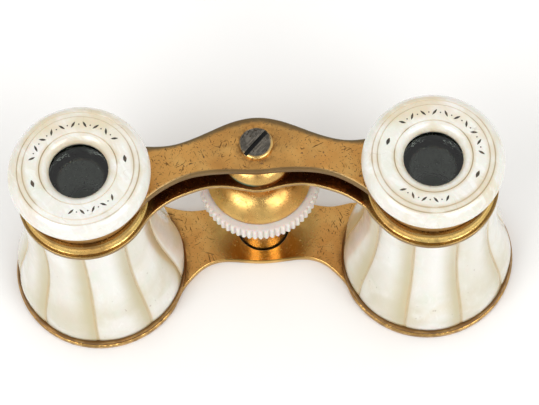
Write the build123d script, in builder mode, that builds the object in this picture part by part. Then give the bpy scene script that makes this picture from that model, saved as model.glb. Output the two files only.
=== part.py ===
from build123d import *
import os

# Opera glasses: two Galilean barrels joined by three bridges, focused by a centre wheel.
# Frame: millimetres, +Z up through the eyecups, X from barrel to barrel, -Y the nose side.
# The glasses stand on their objective ends, at z = 0, and are modelled closed. The origin is
# under the middle of the whole object, whose focus wheel stands out behind the barrels.

# ---- driving dimensions -------------------------------------------------------------
AXIS_SPACING = 62.0          # between the two barrel axes
FOCUS_BACK = 7.0             # how far the focus axis lies behind the barrel axes
CLEARANCE = 0.05             # radial clearance of a turning or sliding fit

# objective end and lower bridge
FOOT_R = 16.42               # outer edge of the lower bridge's rings
FOOT_BOTTOM = 0.3
FOOT_TOP = 1.5
CELL_R = 13.6                # screwed objective cell, proud of the bridge below
CELL_BORE = 12.4
CELL_TOP = 5.2
BEAD_R = 16.2                # half-round bead that the staves stand on
BEAD_TOP = 2.8

# barrel: height and outer radius of the pearl at each station
BARREL_PROFILE = (
    (2.8, 15.75), (6.0, 15.55), (9.0, 14.95), (13.0, 13.85), (17.0, 12.85),
    (21.0, 12.2), (25.0, 11.85), (30.0, 11.7), (35.0, 11.75),
)
STAVES = 9
STAVE_GAP = 0.16             # cement joint between two staves
STAVE_LOBE = 0.38            # how much the middle of a stave stands out
STAVE_THICK = 1.25
TUBE_WALL = 0.55             # brass tube under the staves
GLUE = 0.06
LEFT_SEAM = 268.0            # angle of one seam about each barrel axis
RIGHT_SEAM = 252.0

# fixed upper bridge and barrel collars
UPPER_BOTTOM = 35.0
UPPER_TOP = 36.0
UPPER_RING_R = 12.05
COLLAR_TOP = 38.4
COLLAR_R = 11.5
COLLAR_BORE = 9.6

# sliding carriage: bridge, draw tubes, eyepieces
TOP_BOTTOM = 38.6
TOP_TOP = 40.2
TOP_RING_R = 10.4
DRAW_R = COLLAR_BORE - CLEARANCE
DRAW_BORE = 8.95
DRAW_BOTTOM = 13.0
DRAW_TOP = 43.0
NECK_R = 10.2
NECK_TOP = 43.5
EYE_R = 12.58                # pearl eyecup
EYE_TOP = 48.57
EYE_HOLE_R = 5.25
LIP_BOTTOM = 46.85           # under the thin pearl lip round the sight hole
EYE_LENS_R = 6.6
LENS_SEAT = 44.35
LENS_STOP_R = 5.6
CELL_TUBE_R = 8.6            # the part of the eyepiece cell inside the eyecup

# focus wheel
SHAFT_R = 4.7
SHAFT_HOLE_R = 5.0
PIVOT_R = 3.0
THREAD_R = 2.3               # lead screw rod
DOME_R = 9.6
DOME_TOP = 29.8
KNURL_R = 11.2
KNURL_BOTTOM = 22.3
KNURL_TOP = 25.6
KNURL_TEETH = 64
SCREW_R = 3.1                # slotted screw on the top bridge

SIDES = (("left", -AXIS_SPACING / 2, LEFT_SEAM), ("right", AXIS_SPACING / 2, RIGHT_SEAM))

# the box runs from the foot rings' front to the focus wheel's back, with its middle at y = 0
BARREL_Y = -(FOCUS_BACK + KNURL_R - FOOT_R) / 2
FOCUS_Y = BARREL_Y + FOCUS_BACK


def finish(piece, name):
    """Label one finished piece and write it."""
    piece.part.label = name
    export_step(piece.part, "parts/" + name + ".step")


def level(height):
    """The horizontal plane at a height, with its origin midway between the barrel axes."""
    return Plane(origin=(0, BARREL_Y, height))


def section(x, y):
    """The upright plane through x, y that a turned piece's (radius, height) outline is drawn on."""
    return Plane(origin=(x, y, 0), x_dir=(1, 0, 0), z_dir=(0, -1, 0))


def turned(points, x, y):
    """A turned piece: a closed (radius, height) outline spun about the upright axis at x, y."""
    with BuildPart() as spun:
        with BuildSketch(section(x, y)):
            with BuildLine():
                Polyline(*points, close=True)
            make_face()
        revolve(axis=Axis((x, y, 0), (0, 0, 1)))
    return spun


def lens(x, radius, lower, upper):
    """A lens on a barrel axis. Each face is (height at the axis, height at the rim)."""
    faces = []
    for centre, rim in (lower, upper):
        sag = rim - centre
        ball = (radius ** 2 + sag ** 2) / (2 * abs(sag))
        reach = radius / 2
        rise = ball - (ball ** 2 - reach ** 2) ** 0.5
        faces.append((reach, centre + (rise if sag > 0 else -rise)))
    with BuildPart() as glass:
        with BuildSketch(section(x, BARREL_Y)):
            with BuildLine():
                ThreePointArc((0, lower[0]), faces[0], (radius, lower[1]))
                Line((radius, lower[1]), (radius, upper[1]))
                ThreePointArc((radius, upper[1]), faces[1], (0, upper[0]))
                Line((0, upper[0]), (0, lower[0]))
            make_face()
        revolve(axis=Axis((x, BARREL_Y, 0), (0, 0, 1)))
    return glass


def bridge_outline(front, back, ring_r):
    """A bridge's outline: front and back edges flow into the arcs round the barrels.

    front and back are the right-hand halves, from the middle to where the ring starts.
    """
    cx = AXIS_SPACING / 2
    front_reach = (front[-1][0] - cx, front[-1][1])
    back_reach = (back[-1][0] - cx, back[-1][1])
    left_front = [(-x, y) for x, y in reversed(front[1:])]
    left_back = [(-x, y) for x, y in reversed(back[1:])]
    with BuildSketch(mode=Mode.PRIVATE) as outline:
        with BuildLine():
            Spline(*left_front, *front, tangents=[(-front_reach[1], -front_reach[0]),
                                                  (-front_reach[1], front_reach[0])])
            Spline(*left_back, *back, tangents=[(back_reach[1], back_reach[0]),
                                                (back_reach[1], -back_reach[0])])
            ThreePointArc(front[-1], (cx + ring_r, 0), back[-1])
            ThreePointArc(left_front[0], (-cx - ring_r, 0), left_back[0])
        make_face()
    return outline.sketch


def on_ring(x, ring_r, side):
    """The point of a barrel ring's edge at x, on its front (-1) or back (+1) side."""
    reach = x - AXIS_SPACING / 2
    return (x, side * (ring_r ** 2 - reach ** 2) ** 0.5)


os.makedirs("parts", exist_ok=True)

# ---- lower bridge: one plate that carries both objective ends and the wheel's foot ------
lower_front = [(0, -0.3), (5, 0.1), (8.5, 0.15), (11, -0.7), (13.5, -2.8), (15.5, -5.3),
               on_ring(17.6, FOOT_R, -1)]
lower_back = [(0, 14.2), (4, 13.6), (8, 11.9), (11, 11.0), (14, 10.8), (17, 11.35),
              on_ring(21.5, FOOT_R, 1)]
PIVOT_FLOOR = 0.7
with BuildPart() as lower_bridge:
    with BuildSketch(level(FOOT_BOTTOM)):
        add(bridge_outline(lower_front, lower_back, FOOT_R))
    extrude(amount=FOOT_TOP - FOOT_BOTTOM)
    rims = lower_bridge.faces().sort_by(Axis.Z)
    fillet(rims[-1].outer_wire().edges(), 0.3)
    fillet(lower_bridge.faces().sort_by(Axis.Z)[0].outer_wire().edges(), 0.25)
    with BuildSketch(level(FOOT_BOTTOM)):
        with Locations((-AXIS_SPACING / 2, 0), (AXIS_SPACING / 2, 0)):
            Circle(CELL_R + GLUE)
    extrude(amount=FOOT_TOP, mode=Mode.SUBTRACT)
    with BuildSketch(level(PIVOT_FLOOR)):
        with Locations((0, FOCUS_BACK)):
            Circle(SHAFT_HOLE_R)
    extrude(amount=FOOT_TOP, mode=Mode.SUBTRACT)
    with BuildSketch(level(FOOT_BOTTOM)):
        with Locations((0, FOCUS_BACK)):
            Circle(PIVOT_R + CLEARANCE)
    extrude(amount=FOOT_TOP, mode=Mode.SUBTRACT)
finish(lower_bridge, "lower_bridge")

# ---- fixed upper bridge, soldered round both barrels ------------------------------------
upper_front = [(0, -0.2), (3, 0.3), (6, 0.85), (9, 0.8), (12, 0), (15, -1.2), (17, -2.4),
               (19, -4.1), on_ring(22.3, UPPER_RING_R, -1)]
upper_back = [(0, 12.2), (5, 11.2), (10, 8.9), (14, 7.2), (17, 6.8), (20, 7.6),
              on_ring(25, UPPER_RING_R, 1)]
PIVOT_TOP_R = 3.6
barrel_tube_top_r = BARREL_PROFILE[-1][1] - STAVE_THICK - GLUE
with BuildPart() as upper_bridge:
    with BuildSketch(level(UPPER_BOTTOM)):
        add(bridge_outline(upper_front, upper_back, UPPER_RING_R))
    extrude(amount=UPPER_TOP - UPPER_BOTTOM)
    fillet(upper_bridge.faces().sort_by(Axis.Z)[-1].outer_wire().edges(), 0.2)
    fillet(upper_bridge.faces().sort_by(Axis.Z)[0].outer_wire().edges(), 0.2)
    with BuildSketch(level(UPPER_BOTTOM)):
        with Locations((-AXIS_SPACING / 2, 0), (AXIS_SPACING / 2, 0)):
            Circle(barrel_tube_top_r + GLUE)
        with Locations((0, FOCUS_BACK)):
            Circle(PIVOT_TOP_R + CLEARANCE)
    extrude(amount=UPPER_TOP - UPPER_BOTTOM, mode=Mode.SUBTRACT)
finish(upper_bridge, "upper_bridge")

# ---- sliding top bridge -----------------------------------------------------------------
top_front = [(0, 1.7), (4, 1.95), (8, 1.95), (11, 1.6), (14, 0.7), (16.5, -0.6), (19, -2.4),
             on_ring(23.6, TOP_RING_R, -1)]
top_back = [(0, 12.45), (4, 11.8), (8, 10.2), (12, 8.5), (15, 7.65), (18, 7.45), (21.5, 7.75),
            on_ring(26, TOP_RING_R, 1)]
SCREW_SHANK_R = 1.3
with BuildPart() as top_bridge:
    with BuildSketch(level(TOP_BOTTOM)):
        add(bridge_outline(top_front, top_back, TOP_RING_R))
    extrude(amount=TOP_TOP - TOP_BOTTOM)
    fillet(top_bridge.faces().sort_by(Axis.Z)[-1].outer_wire().edges(), 0.65)
    fillet(top_bridge.faces().sort_by(Axis.Z)[0].outer_wire().edges(), 0.3)
    with BuildSketch(level(TOP_BOTTOM)):
        with Locations((-AXIS_SPACING / 2, 0), (AXIS_SPACING / 2, 0)):
            Circle(DRAW_R + GLUE)
        with Locations((0, FOCUS_BACK)):
            Circle(SCREW_SHANK_R + GLUE)
    extrude(amount=TOP_TOP - TOP_BOTTOM, mode=Mode.SUBTRACT)
finish(top_bridge, "top_bridge")

# ---- the two barrels --------------------------------------------------------------------
stave_angle = 360 / STAVES


def stave_section(height, outer):
    """One stave cut across: an outer arc that stands out in the middle, an inner arc."""
    half = Vector(1, 0, 0).rotate(Axis.Z, stave_angle / 2)
    side = Vector(half.Y, -half.X, 0) * (STAVE_GAP / 2)
    inner = outer - STAVE_THICK - STAVE_LOBE / 2
    corner_out = half * (outer - STAVE_LOBE / 2) + side
    corner_in = half * inner + side
    with BuildSketch(Plane.XY.offset(height), mode=Mode.PRIVATE) as cut:
        with BuildLine():
            ThreePointArc((corner_out.X, -corner_out.Y), (outer + STAVE_LOBE / 2, 0),
                          (corner_out.X, corner_out.Y))
            Line((corner_out.X, corner_out.Y), (corner_in.X, corner_in.Y))
            ThreePointArc((corner_in.X, corner_in.Y), (inner, 0), (corner_in.X, -corner_in.Y))
            Line((corner_in.X, -corner_in.Y), (corner_out.X, -corner_out.Y))
        make_face()
    return cut.sketch


with BuildPart() as stave:
    for height, outer in BARREL_PROFILE:
        add(stave_section(height, outer))
    loft()

for side_name, cx, seam in SIDES:
    seat = section(cx, BARREL_Y)
    spin = Axis((cx, BARREL_Y, 0), (0, 0, 1))

    with BuildPart() as staves:
        with Locations((cx, BARREL_Y, 0)):
            with PolarLocations(0, STAVES, start_angle=seam + stave_angle / 2):
                add(stave.part)
    finish(staves, side_name + "_pearl_staves")

    # conical brass tube that the staves are cemented to
    with BuildPart() as tube:
        with BuildSketch(seat):
            outside = [(r - STAVE_THICK - STAVE_LOBE / 2 - GLUE, z) for z, r in BARREL_PROFILE]
            inside = [(r - TUBE_WALL, z) for r, z in outside]
            foot_out = (outside[0][0], FOOT_TOP)
            foot_in = (inside[0][0], FOOT_TOP)
            neck_out = (outside[-1][0], UPPER_TOP)
            neck_in = (inside[-1][0], UPPER_TOP)
            with BuildLine():
                Spline(*outside)
                Spline(*inside)
                Line(outside[0], foot_out)
                Line(foot_out, foot_in)
                Line(foot_in, inside[0])
                Line(outside[-1], neck_out)
                Line(neck_out, neck_in)
                Line(neck_in, inside[-1])
            make_face()
        revolve(axis=spin)
    finish(tube, side_name + "_barrel_tube")

    # half-round bead under the staves, standing on the bridge
    tube_foot_r = BARREL_PROFILE[0][1] - STAVE_THICK - STAVE_LOBE / 2 - GLUE
    with BuildPart() as bead:
        with BuildSketch(seat):
            with BuildLine():
                Polyline((BEAD_R - 0.3, BEAD_TOP - 0.03), (tube_foot_r + GLUE, BEAD_TOP - 0.03),
                         (tube_foot_r + GLUE, FOOT_TOP), (BEAD_R - 0.25, FOOT_TOP))
                ThreePointArc((BEAD_R - 0.25, FOOT_TOP), (BEAD_R, (FOOT_TOP + BEAD_TOP) / 2),
                              (BEAD_R - 0.3, BEAD_TOP - 0.03))
            make_face()
        revolve(axis=spin)
    finish(bead, side_name + "_foot_bead")

    # screwed objective cell with a lip that stands proud of the bridge
    lip_r = CELL_R + 1.6
    cell = turned([(CELL_BORE, 0), (lip_r - 0.15, 0), (lip_r, 0.15), (lip_r, FOOT_BOTTOM),
                   (CELL_R, FOOT_BOTTOM), (CELL_R, CELL_TOP), (CELL_BORE + 0.45, CELL_TOP),
                   (CELL_BORE + 0.45, 1.2), (CELL_BORE, 1.2)], cx, BARREL_Y)
    finish(cell, side_name + "_objective_cell")

    # cemented achromat: crown outside, flint inside, and the ring that holds both
    glass_r = CELL_BORE + 0.4
    crown = lens(cx, glass_r, (0.45, 1.3), (3.6, 2.4))
    finish(crown, side_name + "_objective_crown_lens")
    flint = lens(cx, glass_r, (3.62, 2.42), (4.6, 4.2))
    finish(flint, side_name + "_objective_flint_lens")

    cell_ring = turned([(CELL_BORE - 0.4, 4.35), (CELL_BORE + 0.42, 4.22),
                        (CELL_BORE + 0.42, CELL_TOP), (CELL_BORE - 0.4, CELL_TOP)], cx, BARREL_Y)
    finish(cell_ring, side_name + "_objective_retaining_ring")

    # cove-shaped collar that guides the draw tube
    with BuildPart() as collar:
        with BuildSketch(seat):
            with BuildLine():
                Line((COLLAR_BORE, UPPER_TOP), (COLLAR_R, UPPER_TOP))
                Line((COLLAR_R, UPPER_TOP), (COLLAR_R, UPPER_TOP + 0.35))
                ThreePointArc((COLLAR_R, UPPER_TOP + 0.35), (COLLAR_R - 0.55, UPPER_TOP + 1.1),
                              (COLLAR_R - 0.3, COLLAR_TOP - 0.35))
                Line((COLLAR_R - 0.3, COLLAR_TOP - 0.35), (COLLAR_R - 0.55, COLLAR_TOP))
                Line((COLLAR_R - 0.55, COLLAR_TOP), (COLLAR_BORE, COLLAR_TOP))
                Line((COLLAR_BORE, COLLAR_TOP), (COLLAR_BORE, UPPER_TOP))
            make_face()
        revolve(axis=spin)
    finish(collar, side_name + "_barrel_collar")

    # draw tube and the stop at its lower end that cuts stray light
    draw = turned([(DRAW_BORE, DRAW_BOTTOM), (DRAW_R, DRAW_BOTTOM), (DRAW_R, DRAW_TOP),
                   (DRAW_BORE, DRAW_TOP)], cx, BARREL_Y)
    finish(draw, side_name + "_draw_tube")

    stop = turned([(7.6, DRAW_BOTTOM + 0.5), (DRAW_BORE - 0.02, DRAW_BOTTOM + 0.5),
                   (DRAW_BORE - 0.02, DRAW_BOTTOM + 2.0), (DRAW_BORE - 0.4, DRAW_BOTTOM + 2.0),
                   (DRAW_BORE - 0.4, DRAW_BOTTOM + 0.9), (7.6, DRAW_BOTTOM + 0.9)], cx, BARREL_Y)
    finish(stop, side_name + "_light_stop")

    # brass eyepiece cell: fits on the draw tube, carries the eye lens, clamps the bridge
    with BuildPart() as neck:
        with BuildSketch(seat):
            with BuildLine():
                Polyline((NECK_R, NECK_TOP - 0.35), (NECK_R, NECK_TOP), (CELL_TUBE_R, NECK_TOP),
                         (CELL_TUBE_R, LIP_BOTTOM - GLUE), (EYE_LENS_R + GLUE, LIP_BOTTOM - GLUE),
                         (EYE_LENS_R + GLUE, LENS_SEAT), (LENS_STOP_R, LENS_SEAT),
                         (LENS_STOP_R, DRAW_TOP + GLUE), (DRAW_R + 0.01, DRAW_TOP + GLUE),
                         (DRAW_R + 0.01, TOP_TOP), (NECK_R, TOP_TOP), (NECK_R, TOP_TOP + 0.35))
                ThreePointArc((NECK_R, TOP_TOP + 0.35), (NECK_R - 0.3, (TOP_TOP + NECK_TOP) / 2),
                              (NECK_R, NECK_TOP - 0.35))
            make_face()
        revolve(axis=spin)
    finish(neck, side_name + "_eyepiece_cell")

    eye_lens = lens(cx, EYE_LENS_R, (LENS_SEAT + 0.75, LENS_SEAT + 0.02),
                    (LENS_SEAT + 1.35, LENS_SEAT + 1.9))
    finish(eye_lens, side_name + "_eye_lens")

    ring_bottom = LENS_SEAT + 1.95
    lens_ring = turned([(EYE_HOLE_R + 0.1, ring_bottom), (EYE_LENS_R, ring_bottom),
                        (EYE_LENS_R, LIP_BOTTOM - GLUE), (EYE_HOLE_R + 0.1, LIP_BOTTOM - GLUE)],
                       cx, BARREL_Y)
    finish(lens_ring, side_name + "_eye_lens_ring")

    # pearl eyecup: sight hole, bevel, flat face and a rolled rim
    GROOVE = 0.1
    with BuildPart() as eyecup:
        with BuildSketch(seat):
            with BuildLine():
                Line((EYE_HOLE_R, LIP_BOTTOM), (EYE_HOLE_R, 47.3))
                ThreePointArc((EYE_HOLE_R, 47.3), (5.85, 48.0), (6.75, 48.37))
                Polyline((6.75, 48.37), (6.85, 48.27), (6.95, 48.39), (9.7, EYE_TOP),
                         (9.8, EYE_TOP - GROOVE), (9.92, 48.42), (10.66, 48.37),
                         (10.74, 48.27), (10.86, 48.32))
                ThreePointArc((10.86, 48.32), (12.12, 47.4), (EYE_R, 46.1))
                ThreePointArc((EYE_R, 46.1), (12.0, 44.55), (10.9, 43.9))
                Polyline((10.9, 43.9), (9.4, NECK_TOP + GLUE), (CELL_TUBE_R + GLUE, NECK_TOP + GLUE),
                         (CELL_TUBE_R + GLUE, LIP_BOTTOM), (EYE_HOLE_R, LIP_BOTTOM))
            make_face()
        revolve(axis=spin)
    finish(eyecup, side_name + "_eyecup")

# ---- focus wheel: sleeve, dome and knurled pearl ring, all turning together --------------
sleeve_foot = PIVOT_FLOOR + CLEARANCE
sleeve = turned([(THREAD_R + 0.08, FOOT_BOTTOM + 0.1), (PIVOT_R, FOOT_BOTTOM + 0.1),
                 (PIVOT_R, sleeve_foot), (SHAFT_R, sleeve_foot), (SHAFT_R, UPPER_BOTTOM - 0.1),
                 (PIVOT_TOP_R, UPPER_BOTTOM - 0.1), (PIVOT_TOP_R, UPPER_TOP - 0.05),
                 (THREAD_R + 0.08, UPPER_TOP - 0.05)], 0, FOCUS_Y)
finish(sleeve, "focus_sleeve")

focus_seat = section(0, FOCUS_Y)
focus_spin = Axis((0, FOCUS_Y, 0), (0, 0, 1))
with BuildPart() as dome:
    with BuildSketch(focus_seat):
        with BuildLine():
            Polyline((5.0, DOME_TOP), (SHAFT_R, DOME_TOP), (SHAFT_R, KNURL_TOP),
                     (DOME_R - 0.3, KNURL_TOP), (DOME_R, KNURL_TOP + 0.3),
                     (DOME_R, KNURL_TOP + 0.9))
            ThreePointArc((DOME_R, KNURL_TOP + 0.9), (7.6, 28.7), (5.0, DOME_TOP))
        make_face()
    revolve(axis=focus_spin)
finish(dome, "focus_wheel_dome")

# knurled ring: rounded teeth, with grooves cut down its rim
GROOVE_R = 0.34
with BuildPart() as knurl:
    with BuildSketch(level(KNURL_BOTTOM)):
        with Locations((0, FOCUS_BACK)):
            Circle(KNURL_R)
            Circle(SHAFT_R, mode=Mode.SUBTRACT)
    extrude(amount=KNURL_TOP - KNURL_BOTTOM)
    outer_edges = knurl.edges().filter_by(GeomType.CIRCLE).sort_by(SortBy.RADIUS)[-2:]
    chamfer(outer_edges, 0.2)
    with BuildSketch(level(KNURL_BOTTOM)):
        with Locations((0, FOCUS_BACK)):
            with PolarLocations(KNURL_R + 0.08, KNURL_TEETH):
                Circle(GROOVE_R)
    extrude(amount=KNURL_TOP - KNURL_BOTTOM, mode=Mode.SUBTRACT)
finish(knurl, "focus_wheel_knurl")

washer = turned([(SHAFT_R, KNURL_BOTTOM - 0.8), (8.2, KNURL_BOTTOM - 0.8),
                 (8.4, KNURL_BOTTOM - 0.5), (8.4, KNURL_BOTTOM), (SHAFT_R, KNURL_BOTTOM)],
                0, FOCUS_Y)
finish(washer, "focus_wheel_nut")

# ---- domed boss that holds the wheel's sleeve down in the upper bridge -------------------
BOSS_R = 6.4
BOSS_TOP = 38.2
BOSS_BORE = THREAD_R + 0.3
with BuildPart() as boss:
    with BuildSketch(focus_seat):
        with BuildLine():
            Polyline((3.5, BOSS_TOP), (BOSS_BORE, BOSS_TOP), (BOSS_BORE, UPPER_TOP),
                     (BOSS_R, UPPER_TOP), (BOSS_R, UPPER_TOP + 0.5))
            ThreePointArc((BOSS_R, UPPER_TOP + 0.5), (5.4, 37.6), (3.5, BOSS_TOP))
        make_face()
    revolve(axis=focus_spin)
finish(boss, "upper_bridge_boss")

# ---- lead screw and the slotted screw that holds it to the top bridge --------------------
ROD_BOTTOM = 6.0
with BuildPart() as rod:
    with BuildSketch(level(ROD_BOTTOM)):
        with Locations((0, FOCUS_BACK)):
            Circle(THREAD_R)
    extrude(amount=TOP_BOTTOM - ROD_BOTTOM)
    with BuildSketch(level(TOP_BOTTOM - 4.2)):
        with Locations((0, FOCUS_BACK)):
            Circle(SCREW_SHANK_R + 0.02)
    extrude(amount=4.2, mode=Mode.SUBTRACT)
finish(rod, "lead_screw_rod")

# slotted screw, low domed head
SLOT_WIDTH = 0.75
SLOT_ANGLE = 48
HEAD_TOP = 41.0
flat_r = SCREW_R - 0.5       # the rounded edge of the head starts here
with BuildPart() as screw:
    with BuildSketch(focus_seat):
        with BuildLine():
            Polyline((0, TOP_TOP), (0, HEAD_TOP))
            ThreePointArc((0, HEAD_TOP), (flat_r / 2, HEAD_TOP - 0.04), (flat_r, HEAD_TOP - 0.15))
            ThreePointArc((flat_r, HEAD_TOP - 0.15), (SCREW_R - 0.13, HEAD_TOP - 0.28),
                          (SCREW_R, HEAD_TOP - 0.6))
            Polyline((SCREW_R, HEAD_TOP - 0.6), (SCREW_R, TOP_TOP), (0, TOP_TOP))
        make_face()
    revolve(axis=focus_spin)
    with BuildSketch(level(TOP_BOTTOM - 4.0)):
        with Locations((0, FOCUS_BACK)):
            Circle(SCREW_SHANK_R)
    extrude(amount=TOP_TOP - TOP_BOTTOM + 4.0)
    with BuildSketch(level(HEAD_TOP - 0.55)):
        with Locations((0, FOCUS_BACK)):
            Rectangle(3 * SCREW_R, SLOT_WIDTH, rotation=SLOT_ANGLE)
    extrude(amount=1, mode=Mode.SUBTRACT)
finish(screw, "bridge_screw")
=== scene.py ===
import math

import bpy
from mathutils import Matrix, Vector


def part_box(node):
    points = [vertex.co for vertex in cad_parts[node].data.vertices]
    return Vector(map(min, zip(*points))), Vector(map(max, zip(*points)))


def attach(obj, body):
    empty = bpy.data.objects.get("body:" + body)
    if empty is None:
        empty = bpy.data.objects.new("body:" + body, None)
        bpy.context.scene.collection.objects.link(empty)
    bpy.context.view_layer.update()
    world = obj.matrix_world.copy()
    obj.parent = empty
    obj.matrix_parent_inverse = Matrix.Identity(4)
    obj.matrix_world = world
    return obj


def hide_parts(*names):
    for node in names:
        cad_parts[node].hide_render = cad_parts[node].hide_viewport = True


# Looks for the opera glasses. Lengths are in millimetres until a mesh is made, which is in metres.
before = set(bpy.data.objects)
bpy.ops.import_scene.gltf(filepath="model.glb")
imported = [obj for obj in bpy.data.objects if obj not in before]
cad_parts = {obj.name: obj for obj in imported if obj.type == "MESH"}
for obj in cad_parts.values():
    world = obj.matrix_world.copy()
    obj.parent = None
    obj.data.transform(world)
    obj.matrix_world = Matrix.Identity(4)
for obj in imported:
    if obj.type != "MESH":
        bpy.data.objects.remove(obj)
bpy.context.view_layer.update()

MM = 0.001
scene = bpy.context.scene
scene.view_settings.view_transform = "Standard"

# ---- places, read from the frame -----------------------------------------------------------------
BOXES = {name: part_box(name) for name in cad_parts}


def low(node):
    """A CAD node's lowest corner, in millimetres."""
    return BOXES[node][0] / MM


def high(node):
    """A CAD node's highest corner, in millimetres."""
    return BOXES[node][1] / MM


def middle(node):
    """The middle of a CAD node's box, in millimetres."""
    return (low(node) + high(node)) / 2


SIDES = ("left", "right")
BARREL_X = {side: middle(side + "_eyecup").x for side in SIDES}
BARREL_Y = middle("left_eyecup").y
FOCUS_Y = middle("focus_wheel_dome").y

# the pearl barrel, as its CAD solid has it: height and outer radius at each station
BARREL_PROFILE = (
    (2.8, 15.75), (6.0, 15.55), (9.0, 14.95), (13.0, 13.85), (17.0, 12.85),
    (21.0, 12.2), (25.0, 11.85), (30.0, 11.7), (35.0, 11.75),
)
STAVES = 9
STAVE_LOBE = 0.6
STAVE_THICK = 1.3
STAVE_GAP = 0.1
EDGE_ROUND = 0.08
END_ROUND = 0.05
EDGE_START = 0.9                # share of a stave's half width where its edge starts to round over
STAVE_ROWS = 40
FOOT_ROW = 0.08                 # the extra rows just inside a stave's two ends
HEAD_ROW = 0.06
LOBE_AT_FOOT = 0.25
LOBE_RISE = 4.0
HALF_SHARES = (0.25, 0.5, 0.7, 0.84, 0.92, 0.96, 0.985, 1)
TONE_STRIDE = 5                 # deals the staves' tones out of order
FIRST_SEAM = {"left": math.radians(268), "right": math.radians(252)}


# ---- mesh code -----------------------------------------------------------------------------------


def make_object(name, points, faces, material, body, smooth_angle=35):
    """A piece from its points (millimetres) and faces. It rides on a body."""
    mesh = bpy.data.meshes.new(name)
    mesh.from_pydata([tuple(Vector(p) * MM) for p in points], [], faces)
    mesh.validate()
    mesh.shade_smooth()
    mesh.set_sharp_from_angle(angle=math.radians(smooth_angle))
    mesh.materials.append(material)
    piece = bpy.data.objects.new(name, mesh)
    scene.collection.objects.link(piece)
    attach(piece, body)
    return piece


def add_float(piece, name, values):
    """One number for each point of a piece, which its material reads."""
    layer = piece.data.attributes.new(name, "FLOAT", "POINT")
    layer.data.foreach_set("value", values)


def strip_solid(rows, points, faces):
    """Add a closed solid to points and faces. Each row is (outer points, inner points)."""
    start = len(points)
    across = len(rows[0][0])
    ring = 2 * across
    for outer, inner in rows:
        points.extend(outer)
        points.extend(reversed(inner))
    for row in range(len(rows) - 1):
        here = start + row * ring
        for i in range(ring):
            j = (i + 1) % ring
            faces.append((here + i, here + j, here + ring + j, here + ring + i))
    last = start + (len(rows) - 1) * ring
    for i in range(across - 1):
        back = ring - 1 - i
        faces.append((start + i, start + back, start + back - 1, start + i + 1))
        faces.append((last + i, last + i + 1, last + back - 1, last + back))


def spun_solid(outline, around, radius_at, x, y):
    """Points and faces of a ring-shaped solid: an outline of (radius, height, share) spun round x, y.

    radius_at(radius, height, share, angle) gives the radius of each point.
    """
    points = []
    faces = []
    count = len(outline)
    for step in range(around):
        angle = 2 * math.pi * step / around
        for radius, height, share in outline:
            r = radius_at(radius, height, share, angle)
            points.append((x + r * math.cos(angle), y + r * math.sin(angle), height))
        following = (step + 1) % around
        for i in range(count):
            j = (i + 1) % count
            faces.append((step * count + i, following * count + i,
                          following * count + j, step * count + j))
    return points, faces


def barrel_radius(height):
    """The pearl barrel's outer radius, by a smooth curve through its stations."""
    stations = BARREL_PROFILE
    last = len(stations) - 1

    def slope(i):
        a = stations[max(i - 1, 0)]
        b = stations[min(i + 1, last)]
        return (b[1] - a[1]) / (b[0] - a[0])

    i = max(k for k in range(last) if stations[k][0] <= height)
    (z0, r0), (z1, r1) = stations[i], stations[i + 1]
    gap = z1 - z0
    t = (height - z0) / gap
    return ((2 * t ** 3 - 3 * t ** 2 + 1) * r0 + (t ** 3 - 2 * t ** 2 + t) * gap * slope(i)
            + (3 * t ** 2 - 2 * t ** 3) * r1 + (t ** 3 - t ** 2) * gap * slope(i + 1))


# ---- material code -------------------------------------------------------------------------------


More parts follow.
